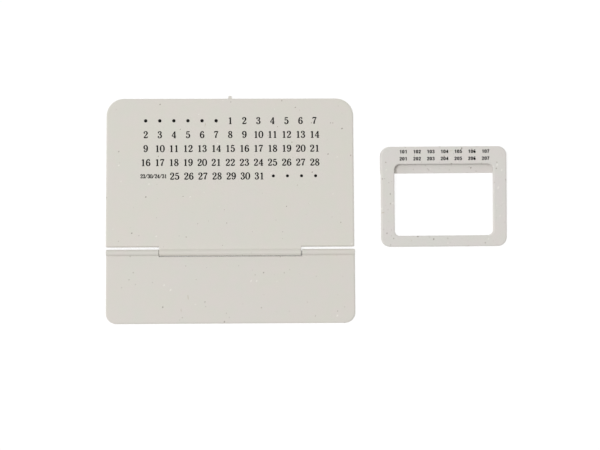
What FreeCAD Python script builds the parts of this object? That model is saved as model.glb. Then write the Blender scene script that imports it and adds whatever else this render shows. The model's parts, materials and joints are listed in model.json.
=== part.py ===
# Perpetual desk calendar laid open flat: board, folding flap, hinge pins and the loose index frame.
# Millimetres. The row origin is the centre of the board's back face, +X along the hinge,
# +Y up the board and +Z out of its printed face. Each sketch has its Y zero on the hinge axis,
# or, in the index frame, on the frame's bottom edge.
import FreeCAD, Part
import math
import os

import Sketcher

os.makedirs("parts", exist_ok=True)
doc = FreeCAD.newDocument("PerpetualCalendar")

# Driving sizes, piece by piece: each one's name in the sheet, its value and what it is
driving = {
    # board
    "board_width": 150.0,  # across the board, along the hinge
    "board_reach": 94.0,  # hinge axis to the top edge
    "board_thickness": 2.6,  # plate of the board
    "board_corner": 10.6,  # radius of the two top corners
    "shoulder_corner": 0.6,  # radius of the lower outer corners
    "shoulder_gap": 1.45,  # side barrel to the board's lower edge
    "tongue_width": 85.6,  # the middle stretch that reaches the hinge
    "front_round": 1.0,  # rounding of the board's and flap's front edges
    "back_chamfer": 0.3,  # chamfer of the back edges
    "nub_base": 2.3,  # index nub at its root
    "nub_tip": 1.7,  # index nub at its tip
    "nub_height": 1.6,  # index nub above the top edge
    "nub_thickness": 2.0,  # index nub, front to back
    "nub_root": 1.2,  # index nub inside the plate
    # hinge
    "barrel_radius": 2.0,  # outside of every knuckle
    "barrel_round": 0.5,  # rounding of the knuckle ends
    "ramp_reach": 0.3,  # how far the ramp between tongue and barrel runs out beyond the barrel
    "ramp_share": 0.68,  # height of the ramp over the hinge axis, as a share of the barrel's radius
    "knuckle_gap": 0.4,  # tongue end to side barrel, each side
    "side_play": 0.25,  # flap pushed this far towards +X
    "lip_gap": 0.3,  # tongue barrel to the flap's cut edge
    "pin_radius": 0.8,  # steel hinge pin
    "pin_press": 0.01,  # radial interference in the side barrels
    "pin_clearance": 0.05,  # radial running clearance in the tongue
    "pin_engagement": 8.5,  # length of pin inside the tongue
    "pin_inset": 0.5,  # pin end below the flap's side
    "pin_end_gap": 1.0,  # pin tip to the bottom of its bore
    "pin_chamfer": 0.2,  # chamfer of the pin ends
    # flap
    "flap_reach": 42.7,  # hinge axis to the free edge
    "flap_thickness": 2.6,  # plate of the flap
    "flap_corner": 6.4,  # radius of the two free corners
    "lip_round": 0.5,  # rounding of the cut edge beside the tongue
    "stop_bevel": 0.3,  # how far the cut edge slants back at its foot, where it stops the fold
    # index frame
    "frame_width": 76.35,  # along the board's top edge
    "frame_height": 60.65,  # top to bottom
    "frame_corner": 5.6,  # radius of the outer corners
    "frame_front": 2.4,  # front plate
    "frame_back": 1.6,  # back plate of the hook
    "frame_round": 1.0,  # rounding of the outer front edge
    "window_round": 0.8,  # rounding of the window's front edge
    "top_bar": 10.6,  # above the window
    "side_bar": 8.25,  # beside the window
    "bottom_bar": 6.7,  # below the window
    "window_corner": 3.2,  # radius of the window's corners
    "hook_depth": 16.15,  # height of the back plate
    "hook_clearance": 0.2,  # channel to the board, each side
    "hook_lead": 0.5,  # rounding at the mouth of the channel
    "web": 2.1,  # wall that joins front and back plate at the top
    "notch_clearance": 0.15,  # index notch to the nub, each side
    "column_pitch": 8.54,  # one column of the date grid
    "notch_count": 7,  # index notches, one for each column that a month can start in
    "loose_gap": 16.3,  # board's edge to the loose frame
    "loose_rise": 3.25,  # hinge axis to the loose frame's bottom edge
    "loose_yaw": 0.25,  # degrees that the loose frame lies askew
    # for every cut
    "overrun": 1.0,  # how far a cut runs past what it cuts
}

sizes = doc.addObject("Spreadsheet::Sheet", "sizes")
for row, (name, number) in enumerate(driving.items(), 1):
    sizes.set(f"A{row}", name)
    sizes.set(f"B{row}", str(number))
    sizes.setAlias(f"B{row}", name)
doc.recompute()

# Sizes that follow from the driving ones, as expressions
half_board = "sizes.board_width / 2"
half_tongue = "sizes.tongue_width / 2"
knuckle_face = "(sizes.tongue_width / 2 + sizes.knuckle_gap)"
shoulder = "(sizes.barrel_radius + sizes.shoulder_gap)"
cut_edge = "(sizes.barrel_radius + sizes.lip_gap)"
pin_tip = "(sizes.tongue_width / 2 - sizes.pin_engagement)"
pin_head = "(sizes.board_width / 2 - sizes.pin_inset)"
hinge_y = "-sizes.board_reach / 2"
channel = "(sizes.board_thickness + 2 * sizes.hook_clearance)"
hook_foot = "(sizes.frame_height - sizes.hook_depth)"
notch_half = "(sizes.nub_base / 2 + sizes.notch_clearance)"
notch_travel = "((sizes.notch_count - 1) * sizes.column_pitch)"


def worth(text):
    """The number that an expression on the sheet comes to."""
    return float(sizes.evalExpression(text))


def bind(item, **properties):
    """Ties each property to an expression; a double underscore stands for a dot."""
    for name, text in properties.items():
        item.setExpression(name.replace("__", "."), text)


def new_body(name):
    body = doc.addObject("PartDesign::Body", name)
    body.Label = name
    return body


def origin_plane(body, role):
    return next(item for item in body.Origin.OriginFeatures if item.Role == role)


def new_sketch(body, name, role, lift=None):
    """A sketch on one of the body's own planes, lifted along the plane's normal."""
    sketch = body.newObject("Sketcher::SketchObject", name)
    sketch.AttachmentSupport = [(origin_plane(body, role), "")]
    sketch.MapMode = "FlatFace"
    if lift:
        bind(sketch, AttachmentOffset__Base__z=lift)
    return sketch


def hold(sketch, text, kind, *ends):
    """Adds one dimension and ties it to its expression."""
    index = sketch.addConstraint(Sketcher.Constraint(kind, *ends, worth(text)))
    sketch.setExpression(f"Constraints[{index}]", text)


def square_outline(sketch, corners):
    """A closed outline of upright and level lines. A corner is x, y and, where it is rounded, a radius."""
    count = len(corners)
    points = [FreeCAD.Vector(worth(c[0]), worth(c[1]), 0) for c in corners]
    radii = [worth(c[2]) if len(c) > 2 else 0 for c in corners]
    runs = [(points[(i + 1) % count] - points[i]).normalize() for i in range(count)]
    lines = []
    for i in range(count):
        start = points[i] + runs[i] * radii[i]
        stop = points[(i + 1) % count] - runs[i] * radii[(i + 1) % count]
        lines.append(sketch.addGeometry(Part.LineSegment(start, stop), False))
    for i in range(count):
        upright = corners[i][0] == corners[(i + 1) % count][0]
        sketch.addConstraint(Sketcher.Constraint("Vertical" if upright else "Horizontal", lines[i]))
        if upright:
            hold(sketch, corners[i][0], "DistanceX", -1, 1, lines[i], 1)
        else:
            hold(sketch, corners[i][1], "DistanceY", -1, 1, lines[i], 1)
    for i in range(count):
        before, after = lines[i - 1], lines[i]
        if not radii[i]:
            sketch.addConstraint(Sketcher.Constraint("Coincident", before, 2, after, 1))
            continue
        came, goes = runs[i - 1], runs[i]
        left_turn = came.cross(goes).z > 0
        centre = points[i] + (goes - came) * radii[i]
        enters, leaves = points[i] - came * radii[i] - centre, points[i] + goes * radii[i] - centre
        first, last = (enters, leaves) if left_turn else (leaves, enters)
        begin, end = math.atan2(first.y, first.x), math.atan2(last.y, last.x)
        circle = Part.Circle(centre, FreeCAD.Vector(0, 0, 1), radii[i])
        arc = sketch.addGeometry(Part.ArcOfCircle(circle, begin, end), False)
        near_before, near_after = (1, 2) if left_turn else (2, 1)
        sketch.addConstraint(Sketcher.Constraint("Tangent", before, 2, arc, near_before))
        sketch.addConstraint(Sketcher.Constraint("Tangent", after, 1, arc, near_after))
        hold(sketch, corners[i][2], "Radius", arc)


def slanted_outline(sketch, corners):
    """A closed outline of straight lines through corners held by x and y."""
    count = len(corners)
    points = [FreeCAD.Vector(worth(x), worth(y), 0) for x, y in corners]
    lines = [
        sketch.addGeometry(Part.LineSegment(points[i], points[(i + 1) % count]), False)
        for i in range(count)
    ]
    for i in range(count):
        sketch.addConstraint(Sketcher.Constraint("Coincident", lines[i - 1], 2, lines[i], 1))
        hold(sketch, corners[i][0], "DistanceX", -1, 1, lines[i], 1)
        hold(sketch, corners[i][1], "DistanceY", -1, 1, lines[i], 1)


def round_outline(sketch, height, radius):
    """A circle on the sketch's own Y axis, at a height above its origin."""
    middle = FreeCAD.Vector(0, worth(height), 0)
    circle = sketch.addGeometry(Part.Circle(middle, FreeCAD.Vector(0, 0, 1), worth(radius)), False)
    sketch.addConstraint(Sketcher.Constraint("PointOnObject", circle, 3, -2))
    hold(sketch, height, "DistanceY", -1, 1, circle, 3)
    hold(sketch, radius, "Radius", circle)


def feature(body, kind, name, sketch=None, **properties):
    made = body.newObject(f"PartDesign::{kind}", name)
    if sketch:
        made.Profile = sketch
    bind(made, **properties)
    return made


def picked(base, test):
    """Names of the base's edges whose bounding box passes the test."""
    return [f"Edge{i + 1}" for i, edge in enumerate(base.Shape.Edges) if test(edge.BoundBox)]


def front_edge(box, thickness):
    """An edge of a plate's front face lies wholly in the front half of the plate."""
    return box.ZMin > worth(thickness) / 2


def back_edge(box, thickness):
    return box.ZMax < worth(thickness) / 2


def rounded(body, name, base, radius, test):
    doc.recompute()
    fillet = body.newObject("PartDesign::Fillet", name)
    fillet.Base = (base, picked(base, test))
    bind(fillet, Radius=radius)
    doc.recompute()
    return fillet


def chamfered(body, name, base, size, test):
    doc.recompute()
    chamfer = body.newObject("PartDesign::Chamfer", name)
    chamfer.Base = (base, picked(base, test))
    bind(chamfer, Size=size)
    doc.recompute()
    return chamfer


def turned_barrel(body, name, stretches):
    """Knuckles with rounded ends, turned about the hinge axis. A stretch is where one starts and ends."""
    sketch = new_sketch(body, name + "_profile", "XY_Plane", "sizes.barrel_radius")
    for low, high in stretches:
        square_outline(
            sketch,
            [
                (low, "0"),
                (high, "0"),
                (high, "sizes.barrel_radius", "sizes.barrel_round"),
                (low, "sizes.barrel_radius", "sizes.barrel_round"),
            ],
        )
    barrel = feature(body, "Revolution", name, sketch)
    barrel.ReferenceAxis = (sketch, ["H_Axis"])
    barrel.Angle = 360
    return barrel


# Display board: plate with a tongue down to the hinge, its barrel, the pin bores and the index nub
def display_board():
    body = new_body("display_board")
    bind(body, Placement__Base__y=hinge_y)

    outline = new_sketch(body, "board_outline", "XY_Plane")
    square_outline(
        outline,
        [
            ("-" + half_tongue, "0"),
            (half_tongue, "0"),
            (half_tongue, shoulder),
            (half_board, shoulder, "sizes.shoulder_corner"),
            (half_board, "sizes.board_reach", "sizes.board_corner"),
            ("-" + half_board, "sizes.board_reach", "sizes.board_corner"),
            ("-" + half_board, shoulder, "sizes.shoulder_corner"),
            ("-" + half_tongue, shoulder),
        ],
    )
    plate = feature(body, "Pad", "board_plate", outline, Length="sizes.board_thickness")

    def above_tongue(box):
        return box.YMin > worth(shoulder) / 2

    edge = rounded(
        body, "board_front_edge", plate, "sizes.front_round",
        lambda box: front_edge(box, "sizes.board_thickness") and above_tongue(box),
    )
    chamfered(
        body, "board_back_edge", edge, "sizes.back_chamfer",
        lambda box: back_edge(box, "sizes.board_thickness") and above_tongue(box),
    )

    turned_barrel(body, "tongue_barrel", [("-" + half_tongue, half_tongue)])

    # A short ramp takes the tongue's front face up to the barrel
    ramp_foot = "(sizes.barrel_radius + sizes.ramp_reach)"
    ramp_crest = "(sizes.barrel_radius * sizes.ramp_share)"
    outline = new_sketch(body, "ramp_outline", "YZ_Plane")
    slanted_outline(
        outline,
        [
            (ramp_crest, "sizes.board_thickness / 2"),
            (ramp_foot, "sizes.board_thickness / 2"),
            (ramp_foot, "sizes.board_thickness"),
            (ramp_crest, "sizes.barrel_radius + " + ramp_crest),
        ],
    )
    ramp = feature(body, "Pad", "tongue_ramp", outline, Length="sizes.tongue_width - 2 * sizes.barrel_round")
    ramp.Midplane = True

    nub_lift = "(sizes.board_thickness - sizes.nub_thickness) / 2"
    nub_foot = "(sizes.board_reach - sizes.nub_root)"
    nub_top = "(sizes.board_reach + sizes.nub_height)"
    outline = new_sketch(body, "nub_outline", "XY_Plane", nub_lift)
    slanted_outline(
        outline,
        [
            ("-sizes.nub_base / 2", nub_foot),
            ("sizes.nub_base / 2", nub_foot),
            ("sizes.nub_base / 2", "sizes.board_reach"),
            ("sizes.nub_tip / 2", nub_top),
            ("-sizes.nub_tip / 2", nub_top),
            ("-sizes.nub_base / 2", "sizes.board_reach"),
        ],
    )
    feature(body, "Pad", "index_nub", outline, Length="sizes.nub_thickness")

    # Blind bores from both tongue ends, a running fit on the pins
    circle = new_sketch(body, "bore_circle", "YZ_Plane", half_tongue)
    round_outline(circle, "sizes.barrel_radius", "sizes.pin_radius + sizes.pin_clearance")
    bore = feature(body, "Pocket", "pin_bore", circle, Length="sizes.pin_engagement + sizes.pin_end_gap")
    doc.recompute()
    other = body.newObject("PartDesign::Mirrored", "pin_bore_mirrored")
    other.Originals = [bore]
    other.MirrorPlane = (origin_plane(body, "YZ_Plane"), [""])
    body.Tip = other
    return body


# Stand flap: plate cut back behind the tongue, with a barrel at each side that carries a pin
def stand_flap():
    body = new_body("stand_flap")
    bind(body, Placement__Base__x="sizes.side_play", Placement__Base__y=hinge_y)

    outline = new_sketch(body, "flap_outline", "XY_Plane")
    square_outline(
        outline,
        [
            ("-" + half_board, "0"),
            ("-" + half_board, "-sizes.flap_reach", "sizes.flap_corner"),
            (half_board, "-sizes.flap_reach", "sizes.flap_corner"),
            (half_board, "0"),
            (knuckle_face, "0"),
            (knuckle_face, "-" + cut_edge),
            ("-" + knuckle_face, "-" + cut_edge),
            ("-" + knuckle_face, "0"),
        ],
    )
    plate = feature(body, "Pad", "flap_plate", outline, Length="sizes.flap_thickness")

    # The rim is the two sides, the free edge and its corners, and not the hinge line or the cut edge
    def rim(box):
        return box.YMin < -2 * worth(cut_edge)

    def lip(box):
        return box.YMin > -2 * worth(cut_edge) and box.YMax < -worth(cut_edge) / 2

    edge = rounded(
        body, "flap_front_edge", plate, "sizes.front_round",
        lambda box: front_edge(box, "sizes.flap_thickness") and rim(box),
    )
    edge = chamfered(
        body, "flap_back_edge", edge, "sizes.back_chamfer",
        lambda box: back_edge(box, "sizes.flap_thickness") and rim(box),
    )
    rounded(
        body, "flap_lip", edge, "sizes.lip_round",
        lambda box: front_edge(box, "sizes.flap_thickness") and lip(box),
    )

    # Folded back, the foot of the cut edge comes to rest on the underside of the tongue
    half_way = "sizes.flap_thickness / 2"
    slant_foot = f"({cut_edge} + sizes.stop_bevel)"
    outline = new_sketch(body, "bevel_outline", "YZ_Plane")
    slanted_outline(
        outline,
        [
            ("sizes.overrun - " + cut_edge, half_way),
            ("-" + cut_edge, half_way),
            ("-" + slant_foot, "0"),
            ("-" + slant_foot, "-sizes.overrun"),
            ("sizes.overrun - " + cut_edge, "-sizes.overrun"),
        ],
    )
    bevel = feature(body, "Pocket", "cut_edge_bevel", outline, Length=f"2 * {knuckle_face}")
    bevel.Midplane = True

    turned_barrel(
        body, "side_barrels",
        [("-" + half_board, "-" + knuckle_face), (knuckle_face, half_board)],
    )

    # One through bore along both side barrels, a press fit on the pins
    circle = new_sketch(body, "press_circle", "YZ_Plane")
    round_outline(circle, "sizes.barrel_radius", "sizes.pin_radius - sizes.pin_press")
    bore = feature(body, "Pocket", "press_bore", circle)
    bore.Type = "ThroughAll"
    bore.Midplane = True
    return body


# Steel pins, driven in from the flap's sides
def hinge_pin(side_name, start):
    rod = doc.addObject("Part::Cylinder", f"pin_rod_{side_name}")
    bind(
        rod,
        Radius="sizes.pin_radius",
        Height=f"{pin_head} - {pin_tip}",
        Placement__Base__x=f"{start} + sizes.side_play",
        Placement__Base__y=hinge_y,
        Placement__Base__z="sizes.barrel_radius",
    )
    rod.Placement.Rotation = FreeCAD.Rotation(FreeCAD.Vector(0, 1, 0), 90)
    doc.recompute()
    pin = doc.addObject("Part::Chamfer", f"hinge_pin_{side_name}")
    pin.Base = rod
    flat = worth("sizes.pin_chamfer")
    rims = [i + 1 for i, edge in enumerate(rod.Shape.Edges) if isinstance(edge.Curve, Part.Circle)]
    pin.Edges = [(number, flat, flat) for number in rims]
    pin.Label = f"hinge_pin_{side_name}"
    return pin


# Index frame: front plate with a window, and a hook channel with index notches behind its top bar
def index_frame():
    body = new_body("index_frame")
    half_frame = "sizes.frame_width / 2"
    half_window = "(sizes.frame_width / 2 - sizes.side_bar)"
    window_top = "(sizes.frame_height - sizes.top_bar)"

    outline = new_sketch(body, "frame_outline", "XY_Plane")
    square_outline(
        outline,
        [
            ("-" + half_frame, "0", "sizes.frame_corner"),
            (half_frame, "0", "sizes.frame_corner"),
            (half_frame, "sizes.frame_height", "sizes.frame_corner"),
            ("-" + half_frame, "sizes.frame_height", "sizes.frame_corner"),
        ],
    )
    square_outline(
        outline,
        [
            ("-" + half_window, "sizes.bottom_bar", "sizes.window_corner"),
            (half_window, "sizes.bottom_bar", "sizes.window_corner"),
            (half_window, window_top, "sizes.window_corner"),
            ("-" + half_window, window_top, "sizes.window_corner"),
        ],
    )
    feature(body, "Pad", "front_plate", outline, Length="sizes.frame_front")

    outline = new_sketch(body, "hook_outline", "XY_Plane")
    square_outline(
        outline,
        [
            ("-" + half_frame, hook_foot),
            (half_frame, hook_foot),
            (half_frame, "sizes.frame_height", "sizes.frame_corner"),
            ("-" + half_frame, "sizes.frame_height", "sizes.frame_corner"),
        ],
    )
    hook = feature(body, "Pad", "hook_block", outline, Length=f"{channel} + sizes.frame_back")
    hook.Reversed = True

    # The channel that the board's top edge slides in, open below and at both sides
    outline = new_sketch(body, "channel_outline", "YZ_Plane")
    mouth = f"({hook_foot} - sizes.overrun)"
    roof = "(sizes.frame_height - sizes.web)"
    square_outline(outline, [(mouth, "-" + channel), (roof, "-" + channel), (roof, "0"), (mouth, "0")])
    cut = feature(body, "Pocket", "hook_channel", outline)
    cut.Type = "ThroughAll"
    cut.Midplane = True

    # Index notches through the web, one column apart
    outline = new_sketch(body, "notch_outline", "XZ_Plane", "-sizes.frame_height")
    first = f"(0 - {notch_travel} / 2)"
    square_outline(
        outline,
        [
            (f"{first} - {notch_half}", "-" + channel),
            (f"{first} + {notch_half}", "-" + channel),
            (f"{first} + {notch_half}", "0"),
            (f"{first} - {notch_half}", "0"),
        ],
    )
    notch = feature(body, "Pocket", "index_notch", outline, Length="sizes.web + sizes.overrun")
    notch.Reversed = True
    doc.recompute()
    row_of_notches = body.newObject("PartDesign::LinearPattern", "index_notches")
    row_of_notches.Originals = [notch]
    row_of_notches.Direction = (outline, ["H_Axis"])
    bind(row_of_notches, Length=notch_travel, Occurrences="sizes.notch_count")
    body.Tip = row_of_notches

    def around_window(box):
        lowest, highest = worth("sizes.bottom_bar") / 2, worth(window_top) + worth("sizes.top_bar") / 2
        inside = max(abs(box.XMin), abs(box.XMax)) < worth(half_window) + worth("sizes.side_bar") / 2
        return inside and box.YMin > lowest and box.YMax < highest

    edge = rounded(
        body, "frame_front_edge", row_of_notches, "sizes.frame_round",
        lambda box: front_edge(box, "sizes.frame_front") and not around_window(box),
    )
    edge = rounded(
        body, "window_front_edge", edge, "sizes.window_round",
        lambda box: front_edge(box, "sizes.frame_front") and around_window(box),
    )

    # The channel's mouth is the back plate's lower edge on the side of the channel
    def mouth_edge(box):
        behind_front = box.ZMax < -worth(channel) / 2
        in_front_of_back = box.ZMin > -worth(channel) - worth("sizes.frame_back") / 2
        return behind_front and in_front_of_back and box.YMax < worth(hook_foot) + worth("sizes.web") / 2

    rounded(body, "hook_mouth", edge, "sizes.hook_lead", mouth_edge)

    # Off the board it lies on the foot of its back plate and the bottom edge of its front plate
    bind(
        body,
        Placement__Rotation__Yaw="sizes.loose_yaw",
        Placement__Rotation__Roll=f"atan(({channel} + sizes.frame_back) / {hook_foot})",
        Placement__Base__x=f"{half_board} + sizes.loose_gap + {half_frame}",
        Placement__Base__y=f"{hinge_y} + sizes.loose_rise",
    )
    return body


pieces = [
    display_board(),
    stand_flap(),
    hinge_pin("left", f"(0 - {pin_head})"),
    hinge_pin("right", pin_tip),
    index_frame(),
]
doc.recompute()

# Nothing is written unless every object is sound
for item in doc.Objects:
    if "Invalid" in item.State or "Error" in item.State:
        raise RuntimeError(f"{item.Name} did not rebuild")
for piece in pieces:
    if piece.Shape.isNull() or not piece.Shape.isValid():
        raise RuntimeError(f"{piece.Label} has no valid shape")
for piece in pieces:
    piece.Shape.exportStep(f"parts/{piece.Label}.step")
    print(f"{piece.Label}: {piece.Shape.Volume / 1000:.3f} cm3, {len(piece.Shape.Solids)} solid")
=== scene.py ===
import json
import math

import bmesh
import bpy
import numpy as np
from mathutils import Matrix, Vector, geometry


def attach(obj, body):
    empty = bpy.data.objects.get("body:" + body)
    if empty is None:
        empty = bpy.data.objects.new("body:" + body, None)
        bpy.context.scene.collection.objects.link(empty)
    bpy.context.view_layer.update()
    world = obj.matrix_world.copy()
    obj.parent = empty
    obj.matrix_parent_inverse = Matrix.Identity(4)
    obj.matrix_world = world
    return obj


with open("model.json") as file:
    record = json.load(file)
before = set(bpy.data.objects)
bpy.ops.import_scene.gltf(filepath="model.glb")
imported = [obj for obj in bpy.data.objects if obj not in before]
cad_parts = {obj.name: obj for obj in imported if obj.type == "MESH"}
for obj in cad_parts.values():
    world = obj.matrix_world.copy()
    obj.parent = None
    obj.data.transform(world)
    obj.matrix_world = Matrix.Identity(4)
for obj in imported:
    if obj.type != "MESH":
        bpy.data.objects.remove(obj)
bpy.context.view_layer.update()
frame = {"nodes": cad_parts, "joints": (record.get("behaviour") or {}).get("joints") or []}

scene = bpy.context.scene
mm = 0.001


# Meshes

def addMesh(name, points, faces):
    mesh = bpy.data.meshes.new(name)
    mesh.from_pydata([tuple(p) for p in points], [], faces)
    mesh.validate()
    mesh.update()
    piece = bpy.data.objects.new(name, mesh)
    scene.collection.objects.link(piece)
    return piece


def dress(piece, material):
    piece.data.materials.clear()
    piece.data.materials.append(material)


def flatFace(node, steepest=20):
    # the widest flat face of a CAD node that looks up, as its middle and its normal. It leans
    # by no more than steepest, in degrees.
    mesh = frame["nodes"][node].data
    planes = {}
    for polygon in mesh.polygons:
        normal = polygon.normal
        if normal.z > math.cos(math.radians(steepest)):
            height = normal.dot(polygon.center) / mm
            plane = (round(normal.x, 2), round(normal.y, 2), round(height, 1))
            planes.setdefault(plane, []).append(polygon)
    widest = max(planes.values(), key=lambda plane: sum(p.area for p in plane))
    area = sum(p.area for p in widest)
    middle = sum((p.center * p.area for p in widest), Vector()) / area
    normal = sum((p.normal * p.area for p in widest), Vector()).normalized()
    return middle, normal


# Shader nodes

class Wire:
    # a socket that does arithmetic

    def __init__(self, finish, socket):
        self.finish = finish
        self.socket = socket

    def __add__(self, other):
        return self.finish.maths("ADD", self, other)

    __radd__ = __add__

    def __mul__(self, other):
        return self.finish.maths("MULTIPLY", self, other)

    __rmul__ = __mul__

    def __sub__(self, other):
        return self.finish.maths("SUBTRACT", self, other)

    def __rsub__(self, other):
        return self.finish.maths("SUBTRACT", other, self)

    def __truediv__(self, other):
        return self.finish.maths("DIVIDE", self, other)

    def __rtruediv__(self, other):
        return self.finish.maths("DIVIDE", other, self)

    def atLeast(self, other):
        return self.finish.maths("MAXIMUM", self, other)

    def clipped(self):
        return self.finish.node("ShaderNodeClamp", {}, {"Value": self})

    def spread(self, strength):
        # a noise, stretched about its middle value
        return ((self - 0.5) * strength + 0.5).clipped()

    def between(self, low, high):
        # 0 up to the low value, 1 from the high value on
        return ((self - low) / (high - low)).clipped()

    def beside(self, name):
        # another output of the same node
        return Wire(self.finish, self.socket.node.outputs[name])


class Finish:
    # one material, or the world, and the nodes it is made of

    def __init__(self, owner):
        owner.use_nodes = True
        self.owner = owner
        self.tree = owner.node_tree
        self.tree.nodes.clear()

    def node(self, kind, settings, inputs, output=0):
        made = self.tree.nodes.new(kind)
        for key, value in settings.items():
            setattr(made, key, value)
        for key, value in inputs.items():
            if isinstance(value, Wire):
                self.tree.links.new(value.socket, made.inputs[key])
            else:
                made.inputs[key].default_value = value
        return Wire(self, made.outputs[output]) if len(made.outputs) else None

    def maths(self, operation, first, second):
        return self.node("ShaderNodeMath", {"operation": operation}, {0: first, 1: second})

    def vectors(self, operation, first, second):
        return self.node("ShaderNodeVectorMath", {"operation": operation}, {0: first, 1: second})

    def blend(self, share, first, second, how="MIX"):
        # inputs 6 and 7 of the mix node are its two colours, and output 2 is the mixed one
        settings = {"data_type": "RGBA", "blend_type": how}
        return self.node("ShaderNodeMix", settings, {0: share, 6: first, 7: second}, 2)

    def noise(self, place, size, detail, roughness, output="Fac"):
        # size is that of one blotch, in millimetres
        inputs = {"Vector": place, "Scale": 1 / size, "Detail": detail, "Roughness": roughness}
        return self.node("ShaderNodeTexNoise", {}, inputs, output)

    def millimetres(self):
        place = self.node("ShaderNodeTexCoord", {}, {}, "Object")
        return self.node("ShaderNodeVectorMath", {"operation": "SCALE"}, {0: place, "Scale": 1 / mm})

    def rayIs(self, *kinds):
        # 1 for a ray of one of these kinds, else 0
        rays = self.node("ShaderNodeLightPath", {}, {})
        found = rays.beside(f"Is {kinds[0]} Ray")
        for kind in kinds[1:]:
            found = found.atLeast(rays.beside(f"Is {kind} Ray"))
        return found

    def surface(self, look, relief, inputs):
        # the whole material: one shader, with bumps that follow the relief
        inputs["Normal"] = self.node(
            "ShaderNodeBump", {},
            {"Strength": look["bumpStrength"], "Distance": look["bumpHeight"] * mm, "Height": relief},
        )
        shader = self.node("ShaderNodeBsdfPrincipled", {}, inputs)
        self.node("ShaderNodeOutputMaterial", {}, {"Surface": shader})
        return self.owner


def colour(red, green, blue):
    # screen values from 0 to 255, as the shader's linear ones
    def linear(value):
        value /= 255
        return value / 12.92 if value <= 0.04045 else ((value + 0.055) / 1.055) ** 2.4

    return (linear(red), linear(green), linear(blue), 1)


# Straw-filled plastic

# A noise is the size of one blotch in millimetres, its detail and its roughness. A tint is
# multiplied with the piece's own tone.
plasticLook = {
    "roughness": 0.52,
    "roughSpread": 0.12,  # by which the grain and the straw bits change it
    "refraction": 1.48,
    "drift": (26, 2.0, 0.45),  # noise of the slow change between warmer and cooler
    "driftStrength": 0.836,
    "warm": (1.012, 1.0, 0.975),
    "cool": (0.985, 0.998, 1.015),
    "patches": (7, 1.0, 0.4),  # noise of the smaller patches, faintly pink or green
    "patchStrength": 3.0,
    "pink": (1.012, 0.993, 1.0),
    "green": (0.99, 1.004, 0.985),
    "flecks": (0.55, 3.0, 0.65),  # noise of the filler just under the skin
    "fleckRange": (0.56, 0.81),  # noise values at the rim and in the middle of a fleck
    "fleckCover": 0.5,
    "fleckTint": (0.93, 0.93, 0.93),
    "grain": (0.22, 3.0, 0.6),  # noise of the moulded grain
    "grainHeight": 0.12,  # in bump heights
    "waves": (9, 1.0, 0.5),  # noise of the face's slow waves
    "waveHeight": 0.5,
    "bitDepth": 0.15,
    "bumpHeight": 0.05,  # millimetres
    "bumpStrength": 0.25,
    "ragged": (0.45, 2.0, 0.6),  # noise by which the edges of the straw bits waver
    "raggedReach": 0.5,  # millimetres
    "pieceStep": (31, 17, 0),  # millimetres that the tones move from one piece to the next
}

# crowd is how many times more bits a piece holds than strawBits gives, and coarse how many
# times larger they are
boardLook = {"tone": (214.5, 211.2, 203.5), "seed": 1, "crowd": 1.2, "coarse": 1.0}
flapLook = {"tone": (213.5, 210, 203), "seed": 2, "crowd": 1.3, "coarse": 1.08}
frameLook = {"tone": (215, 212, 207.5), "seed": 3, "crowd": 5.5, "coarse": 1.15}

# Bits of straw and husk in the plastic. cell is the mean spacing of the bits in depth, in
# millimetres, and long is how many times longer than wide they are, lying at angle degrees.
strawBits = [
    {"cell": 6.4, "radius": 0.38, "long": 1.3, "angle": 30, "tone": (108, 96, 82), "strength": 0.75},
    {"cell": 4.5, "radius": 0.27, "long": 1.2, "angle": 75, "tone": (130, 118, 100), "strength": 0.85},
    {"cell": 8.6, "radius": 0.26, "long": 6.0, "angle": 62, "tone": (172, 160, 136), "strength": 0.55},
    {"cell": 8.0, "radius": 0.24, "long": 7.0, "angle": -38, "tone": (180, 168, 144), "strength": 0.55},
    {"cell": 6.2, "radius": 0.44, "long": 1.7, "angle": 12, "tone": (240, 237, 230), "strength": 0.6},
]

bitPlaces = {
    "pieceStep": (13.7, 4.1, 2.3),  # millimetres that the bits move from one piece to the next
    "kindStep": (5.3, -9.1, 0),  # and from one kind of bit to the next
    "pieceTurn": 17,  # degrees
    "smallest": 0.5,  # radius of the smallest bits, as a share of the one that strawBits gives
    "radiusSpread": 0.7,  # from the smallest radius to the largest, likewise
    "softRim": 0.35,  # width over which a bit fades out, likewise
}


def bitMask(finish, place, bit, number, look):
    # one kind of straw bit: where it shows on the surface, and how strongly
    steps = zip(bitPlaces["pieceStep"], bitPlaces["kindStep"])
    angle = bit["angle"] + look["seed"] * bitPlaces["pieceTurn"]
    turned = finish.node(
        "ShaderNodeMapping", {"vector_type": "TEXTURE"},
        {
            "Vector": place,
            "Location": [look["seed"] * piece + number * kind for piece, kind in steps],
            "Rotation": (0, 0, math.radians(angle)),
            "Scale": (bit["long"], 1, 1),
        },
    )
    cell = bit["cell"] / look["crowd"] ** (1 / 3)
    nearest = finish.node(
        "ShaderNodeTexVoronoi", {"feature": "F1", "distance": "EUCLIDEAN"},
        {"Vector": turned, "Scale": 1 / cell, "Randomness": 1.0}, "Distance",
    )
    chance = finish.node("ShaderNodeSeparateColor", {}, {0: nearest.beside("Color")})
    usual = bit["radius"] * look["coarse"]
    radius = (chance * bitPlaces["radiusSpread"] + bitPlaces["smallest"]) * usual
    inside = (radius - nearest * cell) / (bitPlaces["softRim"] * usual)
    return inside.clipped() * bit["strength"]


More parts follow.
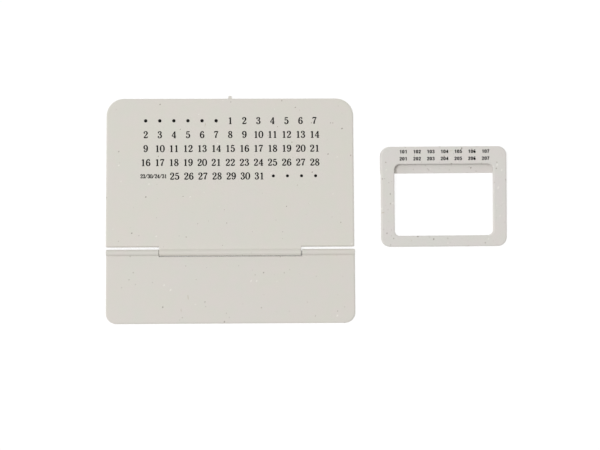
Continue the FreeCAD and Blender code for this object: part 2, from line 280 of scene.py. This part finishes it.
def strawPlastic(name, look):
    finish = Finish(bpy.data.materials.new(name))
    place = finish.millimetres()
    moved = [step * look["seed"] for step in plasticLook["pieceStep"]]
    shifted = finish.vectors("ADD", place, moved)

    def noise(at, kind):
        return finish.noise(at, *plasticLook[kind])

    def toned(tint):
        return [a * b for a, b in zip(colour(*look["tone"]), (*plasticLook[tint], 1))]

    drift = noise(shifted, "drift").spread(plasticLook["driftStrength"])
    skin = finish.blend(drift, toned("warm"), toned("cool"))
    patches = noise(shifted, "patches").spread(plasticLook["patchStrength"])
    tint = finish.blend(patches, (*plasticLook["pink"], 1), (*plasticLook["green"], 1))
    skin = finish.blend(1.0, skin, tint, "MULTIPLY")
    flecks = noise(shifted, "flecks").between(*plasticLook["fleckRange"])
    skin = finish.blend(flecks * plasticLook["fleckCover"], skin, toned("fleckTint"))

    ragged = finish.noise(place, *plasticLook["ragged"], "Color")
    ragged = finish.vectors("SUBTRACT", ragged, (0.5, 0.5, 0.5))
    wobbly = finish.node(
        "ShaderNodeVectorMath", {"operation": "MULTIPLY_ADD"},
        {0: ragged, 1: [plasticLook["raggedReach"]] * 3, 2: place},
    )
    bits = None
    for number, bit in enumerate(strawBits):
        mask = bitMask(finish, wobbly, bit, number, look)
        skin = finish.blend(mask, skin, colour(*bit["tone"]))
        bits = mask if bits is None else bits.atLeast(mask)

    grain = noise(place, "grain")
    waves = noise(shifted, "waves")
    relief = grain * plasticLook["grainHeight"] + waves * plasticLook["waveHeight"]
    relief = relief - bits * plasticLook["bitDepth"]
    roughness = plasticLook["roughness"] + (grain - 0.5 + bits) * plasticLook["roughSpread"]
    return finish.surface(plasticLook, relief, {
        "Base Color": skin, "Roughness": roughness, "IOR": plasticLook["refraction"]})


# Steel of the pins

steelLook = {
    "dark": (150, 149, 146),
    "light": (172, 171, 167),
    "lines": (0.12, 3.0, 0.6),  # noise of the fine lines that drawing leaves
    "along": 0.06,  # how fast they change along the pin, next to across it
    "roughness": 0.36,
    "roughSpread": 0.16,
    "bumpHeight": 0.01,
    "bumpStrength": 0.3,
}


def drawnSteel(name):
    finish = Finish(bpy.data.materials.new(name))
    drawn = finish.vectors("MULTIPLY", finish.millimetres(), (steelLook["along"], 1, 1))
    lines = finish.noise(drawn, *steelLook["lines"])
    return finish.surface(steelLook, lines, {
        "Base Color": finish.blend(lines, colour(*steelLook["dark"]), colour(*steelLook["light"])),
        "Metallic": 1.0,
        "Roughness": steelLook["roughness"] + lines * steelLook["roughSpread"],
    })


# Ink of the print

inkLook = {
    "full": (9, 9, 8),
    "thin": (40, 38, 35),
    "cover": (0.16, 3.0, 0.65),  # noise of the places where the ink is thin
    "thinRange": (0.62, 0.82),  # noise values where it starts to thin and where it is thinnest
    "thinness": 0.5,
    "roughness": 0.55,
    "roughSpread": 0.15,
    "shine": 0.12,
    "bumpHeight": 0.01,
    "bumpStrength": 0.2,
}


def printInk(name):
    finish = Finish(bpy.data.materials.new(name))
    cover = finish.noise(finish.millimetres(), *inkLook["cover"])
    thin = cover.between(*inkLook["thinRange"]) * inkLook["thinness"]
    return finish.surface(inkLook, cover, {
        "Base Color": finish.blend(thin, colour(*inkLook["full"]), colour(*inkLook["thin"])),
        "Roughness": inkLook["roughness"] + cover * inkLook["roughSpread"],
        "Specular IOR Level": inkLook["shine"],
    })


# What each piece is made of

dress(frame["nodes"]["display_board"], strawPlastic("board_plastic", boardLook))
dress(frame["nodes"]["stand_flap"], strawPlastic("flap_plastic", flapLook))
dress(frame["nodes"]["index_frame"], strawPlastic("frame_plastic", frameLook))
steel = drawnSteel("pin_steel")
for node in ("hinge_pin_left", "hinge_pin_right"):
    dress(frame["nodes"][node], steel)
ink = printInk("print_ink")
print("materials:", len(bpy.data.materials))


# Printed figures

# Each figure is drawn by a pen. A stroke is a list of points (x, y, width of the line) and
# a ball is (x, y, radius), all in figure heights from the lower left corner.
serifFigures = {
    "0": {"strokes": [("ring", [
        (0.32, 0.985, 0.05), (0.16, 0.89, 0.09), (0.09, 0.68, 0.135), (0.08, 0.5, 0.145),
        (0.09, 0.32, 0.135), (0.16, 0.11, 0.09), (0.32, 0.015, 0.05), (0.48, 0.11, 0.09),
        (0.55, 0.32, 0.135), (0.56, 0.5, 0.145), (0.55, 0.68, 0.135), (0.48, 0.89, 0.09)])]},
    "1": {"strokes": [
        ("line", [(0.335, 0.99, 0.14), (0.335, 0.13, 0.14), (0.335, 0.06, 0.17), (0.335, 0.0, 0.27)]),
        ("line", [(0.15, 0.018, 0.036), (0.52, 0.018, 0.036)]),
        ("line", [(0.13, 0.85, 0.035), (0.2, 0.868, 0.055), (0.28, 0.915, 0.1), (0.335, 0.94, 0.09)])]},
    "2": {"strokes": [
        ("line", [(0.075, 0.735, 0.05), (0.09, 0.86, 0.05), (0.17, 0.955, 0.052), (0.3, 0.98, 0.06),
                  (0.43, 0.935, 0.1), (0.5, 0.8, 0.145), (0.485, 0.65, 0.145), (0.39, 0.48, 0.1),
                  (0.25, 0.31, 0.066), (0.13, 0.16, 0.052), (0.08, 0.05, 0.05)]),
        ("line", [(0.06, 0.03, 0.06), (0.16, 0.06, 0.12), (0.3, 0.06, 0.125), (0.43, 0.055, 0.11),
                  (0.52, 0.085, 0.085), (0.56, 0.16, 0.05), (0.575, 0.26, 0.035)])],
        "balls": [(0.135, 0.755, 0.07)]},
    "3": {"strokes": [
        ("line", [(0.085, 0.79, 0.05), (0.11, 0.895, 0.05), (0.2, 0.965, 0.052), (0.31, 0.98, 0.06),
                  (0.43, 0.925, 0.1), (0.475, 0.79, 0.135), (0.43, 0.645, 0.1), (0.33, 0.56, 0.056),
                  (0.22, 0.53, 0.045)]),
        ("line", [(0.22, 0.53, 0.045), (0.36, 0.515, 0.056), (0.475, 0.43, 0.11), (0.52, 0.275, 0.15),
                  (0.465, 0.11, 0.115), (0.34, 0.022, 0.062), (0.21, 0.022, 0.052), (0.11, 0.08, 0.05),
                  (0.075, 0.175, 0.05)])],
        "balls": [(0.14, 0.785, 0.066), (0.13, 0.2, 0.07)]},
    "4": {"strokes": [
        ("line", [(0.43, 0.99, 0.13), (0.43, 0.13, 0.14), (0.43, 0.06, 0.17), (0.43, 0.0, 0.26)]),
        ("line", [(0.27, 0.018, 0.036), (0.59, 0.018, 0.036)]),
        ("line", [(0.41, 0.965, 0.05), (0.05, 0.29, 0.05)]),
        ("line", [(0.03, 0.275, 0.058), (0.62, 0.275, 0.058)])]},
    "5": {"strokes": [
        ("line", [(0.13, 0.95, 0.05), (0.23, 0.925, 0.1), (0.34, 0.92, 0.12), (0.44, 0.935, 0.085),
                  (0.53, 0.985, 0.025)]),
        ("line", [(0.148, 0.965, 0.045), (0.125, 0.53, 0.045)]),
        ("line", [(0.125, 0.53, 0.045), (0.19, 0.585, 0.05), (0.3, 0.615, 0.06), (0.43, 0.565, 0.105),
                  (0.51, 0.42, 0.145), (0.51, 0.25, 0.145), (0.44, 0.09, 0.105), (0.31, 0.02, 0.06),
                  (0.19, 0.022, 0.05), (0.105, 0.08, 0.05), (0.075, 0.165, 0.05)])],
        "balls": [(0.13, 0.19, 0.068)]},
    "6": {"strokes": [
        ("line", [(0.535, 0.82, 0.045), (0.49, 0.925, 0.045), (0.4, 0.98, 0.05), (0.29, 0.945, 0.07),
                  (0.17, 0.81, 0.11), (0.115, 0.61, 0.14), (0.105, 0.4, 0.145), (0.13, 0.21, 0.135),
                  (0.21, 0.065, 0.09), (0.33, 0.02, 0.055), (0.45, 0.07, 0.09), (0.53, 0.2, 0.14),
                  (0.53, 0.37, 0.14), (0.46, 0.52, 0.1), (0.34, 0.575, 0.055), (0.22, 0.53, 0.045),
                  (0.13, 0.4, 0.045)])],
        "balls": [(0.485, 0.82, 0.062)]},
    "7": {"strokes": [
        ("line", [(0.075, 0.76, 0.035), (0.09, 0.9, 0.05), (0.14, 0.935, 0.11), (0.3, 0.935, 0.125),
                  (0.46, 0.94, 0.11), (0.575, 0.965, 0.05)]),
        ("line", [(0.575, 0.965, 0.045), (0.45, 0.74, 0.06), (0.35, 0.53, 0.09), (0.285, 0.3, 0.13),
                  (0.265, 0.12, 0.15), (0.27, 0.0, 0.13)])]},
    "8": {"strokes": [
        ("ring", [(0.32, 0.985, 0.05), (0.18, 0.92, 0.09), (0.135, 0.77, 0.125), (0.2, 0.62, 0.12),
                  (0.33, 0.53, 0.12), (0.46, 0.42, 0.14), (0.535, 0.27, 0.14), (0.47, 0.09, 0.09),
                  (0.32, 0.015, 0.05), (0.16, 0.09, 0.09), (0.1, 0.26, 0.125), (0.16, 0.42, 0.075),
                  (0.3, 0.52, 0.045), (0.44, 0.62, 0.06), (0.5, 0.76, 0.1), (0.46, 0.92, 0.075)])]},
    "/": {"strokes": [("line", [(-0.02, -0.06, 0.05), (0.6, 1.06, 0.05)])]},
}

plainFigures = {
    "0": {"strokes": [("ring", [
        (0.3, 0.91, 0.18), (0.14, 0.8, 0.2), (0.1, 0.5, 0.21), (0.14, 0.2, 0.2),
        (0.3, 0.09, 0.18), (0.46, 0.2, 0.2), (0.5, 0.5, 0.21), (0.46, 0.8, 0.2)])]},
    "1": {"strokes": [
        ("line", [(0.36, 1.0, 0.2), (0.36, 0.0, 0.2)]),
        ("line", [(0.1, 0.78, 0.15), (0.22, 0.82, 0.16), (0.33, 0.93, 0.14)])]},
    "2": {"strokes": [
        ("line", [(0.09, 0.68, 0.18), (0.15, 0.85, 0.18), (0.31, 0.91, 0.18), (0.46, 0.83, 0.19),
                  (0.48, 0.66, 0.19), (0.37, 0.46, 0.18), (0.12, 0.16, 0.17)]),
        ("line", [(0.02, 0.09, 0.18), (0.58, 0.09, 0.18)])]},
    "3": {"strokes": [
        ("line", [(0.08, 0.77, 0.17), (0.17, 0.88, 0.17), (0.31, 0.91, 0.17), (0.45, 0.84, 0.18),
                  (0.45, 0.64, 0.18), (0.3, 0.535, 0.15), (0.2, 0.53, 0.15)]),
        ("line", [(0.2, 0.53, 0.15), (0.36, 0.51, 0.16), (0.49, 0.38, 0.18), (0.47, 0.18, 0.18),
                  (0.31, 0.085, 0.17), (0.16, 0.12, 0.17), (0.06, 0.25, 0.17)])]},
    "4": {"strokes": [
        ("line", [(0.43, 1.0, 0.19), (0.43, 0.0, 0.19)]),
        ("line", [(0.4, 0.94, 0.16), (0.08, 0.31, 0.16)]),
        ("line", [(0.01, 0.28, 0.17), (0.61, 0.28, 0.17)])]},
    "5": {"strokes": [
        ("line", [(0.13, 0.91, 0.18), (0.54, 0.91, 0.18)]),
        ("line", [(0.17, 0.95, 0.16), (0.13, 0.52, 0.15)]),
        ("line", [(0.1, 0.5, 0.16), (0.26, 0.58, 0.17), (0.42, 0.53, 0.18), (0.5, 0.34, 0.19),
                  (0.42, 0.15, 0.18), (0.27, 0.085, 0.17), (0.14, 0.12, 0.17), (0.05, 0.24, 0.16)])]},
    "6": {"strokes": [
        ("line", [(0.52, 0.83, 0.16), (0.4, 0.915, 0.17), (0.26, 0.89, 0.17), (0.14, 0.72, 0.19),
                  (0.1, 0.44, 0.2), (0.16, 0.18, 0.19), (0.31, 0.085, 0.17), (0.46, 0.17, 0.19),
                  (0.49, 0.34, 0.19), (0.42, 0.5, 0.18), (0.29, 0.55, 0.15), (0.16, 0.45, 0.14)])]},
    "7": {"strokes": [
        ("line", [(0.03, 0.91, 0.18), (0.58, 0.91, 0.18)]),
        ("line", [(0.5, 0.93, 0.16), (0.36, 0.62, 0.18), (0.26, 0.3, 0.19), (0.23, 0.0, 0.2)])]},
}

printing = {
    "curveSteps": 5,  # from one point of a pen line to the next
    "ballSides": 18,
    "serifWidth": 0.64,  # of a serif figure, in figure heights
    "thickness": 0.03,  # millimetres that the ink stands over the face
    "depth": 0.01,  # millimetres that it reaches into the face
    "joinWithin": 1e-5,  # figure heights between points that count as one
    "weldWithin": 1e-7,  # metres, likewise on the finished print
}


def smoothPen(points, closed):
    # runs a curve through the pen points, width and all
    knots = [np.array(p) for p in points]
    count = len(knots)
    if count == 2:
        return knots

    def knot(i):
        if closed:
            return knots[i % count]
        if i < 0:
            return 2 * knots[0] - knots[1]
        if i >= count:
            return 2 * knots[-1] - knots[-2]
        return knots[i]

    path = []
    steps = printing["curveSteps"]
    for i in range(count if closed else count - 1):
        a, b, c, d = knot(i - 1), knot(i), knot(i + 1), knot(i + 2)
        for step in range(steps):
            t = step / steps
            path.append(0.5 * (2 * b + (c - a) * t + (2 * a - 5 * b + 4 * c - d) * t * t
                               + (3 * b - a - 3 * c + d) * t ** 3))
    if not closed:
        path.append(knots[-1])
    return path


def inkOutline(figure, bolder=0.0):
    # all strokes and balls of a figure as one flat patch without overlaps
    points = []
    patches = []
    for kind, pen in figure["strokes"]:
        closed = kind == "ring"
        path = smoothPen(pen, closed)
        count = len(path)
        first = len(points)
        for i, spot in enumerate(path):
            before = path[i - 1] if closed or i else spot
            after = path[(i + 1) % count] if closed or i + 1 < count else spot
            run = Vector((after - before)[:2]).normalized()
            side = Vector((-run.y, run.x)) * (spot[2] + bolder) / 2
            middle = Vector(spot[:2])
            points += [middle + side, middle - side]
        for i in range(count if closed else count - 1):
            j = (i + 1) % count
            patches.append([first + 2 * i, first + 2 * i + 1, first + 2 * j + 1, first + 2 * j])
    sides = printing["ballSides"]
    for x, y, radius in figure.get("balls", []):
        first = len(points)
        reach = radius + bolder / 2
        for i in range(sides):
            angle = 2 * math.pi * i / sides
            points.append(Vector((x + reach * math.cos(angle), y + reach * math.sin(angle))))
        patches.append(list(range(first, first + sides)))
    # 1 is for triangles inside the patches only
    corners, _, faces, _, _, sources = geometry.delaunay_2d_cdt(
        points, [], patches, 1, printing["joinWithin"])
    triangles = [list(face) for face, source in zip(faces, sources) if source]
    return corners, triangles


class Stamp:
    # thin closed prints that lie on one flat face, with all places and sizes in millimetres

    def __init__(self, name, middle, right, normal):
        self.name = name
        self.middle = middle
        self.right = right
        self.up = normal.cross(right)
        self.normal = normal
        self.points = []
        self.faces = []

    def add(self, outline, x, y, size, wide=1.0):
        corners, triangles = outline
        base = len(self.points)
        for lift in (-printing["depth"], printing["thickness"]):
            for corner in corners:
                across = (x + corner.x * size * wide) * mm
                upwards = (y + corner.y * size) * mm
                place = self.middle + (self.right * across + self.up * upwards)
                self.points.append(place + self.normal * (lift * mm))
        above = base + len(corners)
        # edges with a triangle on one side only
        rim = {}
        for triangle in triangles:
            for i in range(3):
                a, b = triangle[i], triangle[(i + 1) % 3]
                if (b, a) in rim:
                    del rim[(b, a)]
                else:
                    rim[(a, b)] = True
            self.faces.append([above + k for k in triangle])
            self.faces.append([base + k for k in reversed(triangle)])
        self.faces += [[base + a, base + b, above + b, above + a] for a, b in rim]

    def word(self, text, figures, x, y, size, advance, bolder, wide=1.0):
        # text centred on x, with its feet on y
        start = x - advance * size * len(text) / 2
        for i, letter in enumerate(text):
            self.add(inkOutline(figures[letter], bolder), start + i * advance * size, y, size, wide)

    def made(self, body):
        piece = addMesh(self.name, self.points, self.faces)
        mended = bmesh.new()
        mended.from_mesh(piece.data)
        bmesh.ops.remove_doubles(mended, verts=mended.verts, dist=printing["weldWithin"])
        bmesh.ops.recalc_face_normals(mended, faces=mended.faces)
        mended.to_mesh(piece.data)
        mended.free()
        dress(piece, ink)
        print(self.name, "faces", len(self.faces))
        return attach(piece, body)


def turnedRound(figure):
    # a six upside down is a nine
    width = printing["serifWidth"]

    def turned(places):
        return [(width - x, 1 - y, size) for x, y, size in places]

    return {
        "strokes": [(kind, turned(pen)) for kind, pen in figure["strokes"]],
        "balls": turned(figure.get("balls", [])),
    }


serifFigures["9"] = turnedRound(serifFigures["6"])
roundDot = {"strokes": [], "balls": [(0, 0, 0.5)]}

# The first four lines are in figure heights, and all other lengths in millimetres.
dateGrid = {
    "advance": 0.732,  # from one figure of a number to the next
    "wide": 1.08,  # stretch of each figure along the row
    "bolder": 0.06,  # added to the width of every pen line
    "shift": 0.035,  # by which a number sits right of its column's middle
    "middleColumn": 6,  # number of columns before the middle one
    "figureHeight": 4.1,
    "column": 8.54,
    "row": 8.51,
    "firstRow": 80.3,  # middle of the first row above the hinge axis
    "middle": 0.07,  # middle column, right of the middle of the board
    "lastRowShift": (0.5, 0.17),  # the last row sits a little right of and above its place
    "firstDot": 2.1,  # across a dot of the first row
    "lastDot": 1.85,
}

# The four dates that share the place of two columns. The height and the shift are in
# millimetres, the rest is in figure heights.
smallDates = {"figureHeight": 2.3, "advance": 0.63, "bolder": 0.1, "shift": 0.1}

hingeLine = next(j for j in frame["joints"] if j["name"] == "flap_hinge")["pos_m"][1]


def printDates():
    # a month that can start under any of seven columns, between dots where no date is
    rows = [
        ["."] * 6 + [str(day) for day in range(1, 8)],
        [str(day) for day in range(2, 15)],
        [str(day) for day in range(9, 22)],
        [str(day) for day in range(16, 29)],
        ["23/30/24/31", ""] + [str(day) for day in range(25, 32)] + ["."] * 4,
    ]
    face, normal = flatFace("display_board")
    origin = Vector((0, hingeLine, face.z))
    for number, row in enumerate(rows):
        stamp = Stamp(f"printed_dates_{number + 1}", origin, Vector((1, 0, 0)), normal)
        across, upwards = dateGrid["lastRowShift"] if number == len(rows) - 1 else (0, 0)
        dot = dateGrid["lastDot"] if number else dateGrid["firstDot"]
        y = dateGrid["firstRow"] - number * dateGrid["row"] + upwards
        for i, text in enumerate(row):
            x = dateGrid["middle"] + (i - dateGrid["middleColumn"]) * dateGrid["column"] + across
            if text == ".":
                stamp.add(inkOutline(roundDot), x, y, dot)
            elif "/" in text:
                # it fills two columns
                x += dateGrid["column"] / 2 + smallDates["shift"]
                size = smallDates["figureHeight"]
                stamp.word(text, serifFigures, x, y - size / 2, size,
                           smallDates["advance"], smallDates["bolder"])
            elif text:
                size = dateGrid["figureHeight"]
                x += dateGrid["shift"] * size
                stamp.word(text, serifFigures, x, y - size / 2, size,
                           dateGrid["advance"], dateGrid["bolder"], dateGrid["wide"])
        stamp.made("board")


printDates()

# The last four lines are in figure heights, and all other lengths in millimetres.
frameMarks = {
    "columns": 7,
    "column": 8.31,
    "middle": 0.48,  # middle column, right of the middle of the frame
    "rows": {"10": 4.1, "20": 8.36},  # first figures of a row, and its feet below the top edge
    "height": 2.05,
    "advance": 0.79,
    "bolder": 0.055,
    "wide": 1.1,
    "shift": 0.04,
}
looseYaw = 0.25  # degrees that the loose frame lies askew


def printFrameMarks():
    # two rows of plain numbers over the seven columns
    middle, normal = flatFace("index_frame")
    yaw = math.radians(looseYaw)
    right = Vector((math.cos(yaw), math.sin(yaw), 0))
    right = (right - normal * right.dot(normal)).normalized()
    up = normal.cross(right)
    corners = [v.co for v in frame["nodes"]["index_frame"].data.vertices]
    along = [corner.dot(right) for corner in corners]
    top = max(corner.dot(up) for corner in corners)
    middle = middle + right * ((min(along) + max(along)) / 2 - middle.dot(right))
    middle = middle + up * (top - middle.dot(up))
    stamp = Stamp("printed_columns", middle, right, normal)
    size = frameMarks["height"]
    for i in range(frameMarks["columns"]):
        place = i - (frameMarks["columns"] - 1) / 2
        x = frameMarks["middle"] + place * frameMarks["column"] + frameMarks["shift"] * size
        for figures, feet in frameMarks["rows"].items():
            stamp.word(f"{figures}{i + 1}", plainFigures, x, -feet, size,
                       frameMarks["advance"], frameMarks["bolder"], frameMarks["wide"])
    stamp.made("frame")


printFrameMarks()


# Studio

studio = {
    "sky": 0.36,  # light from all round
    # far soft lamps: where from, strength, and how wide they look, in degrees
    "lamps": {
        "key": ((-0.36, -0.05, 1.0), 1.5, 16),
        "side": ((-1.0, -0.03, 0.42), 0.5, 30),
        "fill": ((1.0, 0.0, 0.45), 0.34, 40),
        "back": ((0.0, 1.0, 0.2), 0.28, 24),
    },
    "floorReach": 3,  # metres
    "floorDrop": 0.02,  # millimetres below the object
    "floorTone": (0.9, 0.9, 0.9, 1),
    "veil": 0.2,  # how much of the floor shows over the white behind it
    "veilGlow": 0.35,
    # colour of the painted shade on the floor in narrow gaps of the object
    "paintedGapShade": (0.5, 0.49, 0.47, 1),
    "gapWidth": 3.0,  # millimetres round a spot on the floor that are felt as shade
    "gapShade": (0.11, 0.16),  # openness up to which the floor is dark, and from which it is veiled
    "gapSamples": 8,
}
white = (1, 1, 1, 1)


def whiteWorld():
    # white to the camera, and a weaker light on all else
    world = bpy.data.worlds.new("studio")
    scene.world = world
    finish = Finish(world)
    seen = finish.rayIs("Camera", "Glossy", "Transmission")
    strength = seen * (1 - studio["sky"]) + studio["sky"]
    background = finish.node("ShaderNodeBackground", {}, {"Color": white, "Strength": strength})
    finish.node("ShaderNodeOutputWorld", {}, {"Surface": background})


def paleFloor():
    # a white floor that keeps a faint shadow, and lets the flap show when it is folded below it
    finish = Finish(bpy.data.materials.new("floor_white"))
    matt = finish.node("ShaderNodeBsdfDiffuse", {}, {"Color": studio["floorTone"]})
    glow = finish.node("ShaderNodeEmission", {}, {"Color": white, "Strength": studio["veilGlow"]})
    lit = finish.node("ShaderNodeAddShader", {}, {0: matt, 1: glow})
    clear = finish.node("ShaderNodeBsdfTransparent", {}, {})
    seen = finish.rayIs("Camera", "Glossy", "Transmission", "Shadow")
    # in a narrow gap of the object the floor is painted a darker colour where little is open above it:
    # painted shade
    dark = finish.node("ShaderNodeBsdfDiffuse", {}, {"Color": studio["paintedGapShade"]})
    openness = finish.node(
        "ShaderNodeAmbientOcclusion", {"samples": studio["gapSamples"]},
        {"Color": white, "Distance": studio["gapWidth"] * mm}, "AO",
    )
    clearing = openness.between(*studio["gapShade"])
    shown = finish.node("ShaderNodeMixShader", {}, {0: clearing, 1: dark, 2: lit})
    cover = 1 - clearing * seen * (1 - studio["veil"])
    veiled = finish.node("ShaderNodeMixShader", {}, {0: cover, 1: clear, 2: shown})
    finish.node("ShaderNodeOutputMaterial", {}, {"Surface": veiled})
    reach = studio["floorReach"]
    corners = ((-reach, -reach), (reach, -reach), (reach, reach), (-reach, reach))
    floor = addMesh("floor", [(x, y, -studio["floorDrop"] * mm) for x, y in corners], [(0, 1, 2, 3)])
    dress(floor, finish.owner)


def softLamp(name, direction, strength, width):
    lamp = bpy.data.lights.new(name, "SUN")
    lamp.energy = strength
    lamp.angle = math.radians(width)
    holder = bpy.data.objects.new(name, lamp)
    holder.rotation_euler = Vector(direction).to_track_quat("Z", "Y").to_euler()
    scene.collection.objects.link(holder)


whiteWorld()
paleFloor()
for name, settings in studio["lamps"].items():
    softLamp(name, *settings)


# Lengths are in metres and angles in degrees, where nothing else is said.
cameraView = {
    "distance": 0.789,  # from the point aimed at
    "azimuth": -14.416,
    "elevation": 85.154,  # nearly straight down
    "roll": 14.133,
    "aim": (0.04223, -0.03031, 0.0),
    "sensor": 36,  # millimetres across
    "lens": 78.026,  # millimetres
}


def photoCamera():
    lens = bpy.data.cameras.new("camera")
    lens.sensor_fit = "HORIZONTAL"
    lens.sensor_width = cameraView["sensor"]
    lens.lens = cameraView["lens"]
    turn, tilt, roll = (math.radians(cameraView[name]) for name in ("azimuth", "elevation", "roll"))
    level = Vector((math.cos(turn), math.sin(turn), 0))
    back = Vector((level.y * math.cos(tilt), -level.x * math.cos(tilt), math.sin(tilt)))
    upright = back.cross(level)
    right = level * math.cos(roll) + upright * math.sin(roll)
    up = back.cross(right)
    place = Vector(cameraView["aim"]) + back * cameraView["distance"]
    camera = bpy.data.objects.new("camera", lens)
    camera.matrix_world = Matrix((
        (right.x, up.x, back.x, place.x), (right.y, up.y, back.y, place.y),
        (right.z, up.z, back.z, place.z), (0, 0, 0, 1),
    ))
    scene.collection.objects.link(camera)
    scene.camera = camera


photoCamera()
scene.view_settings.view_transform = "Standard"
print("studio and camera: ready")
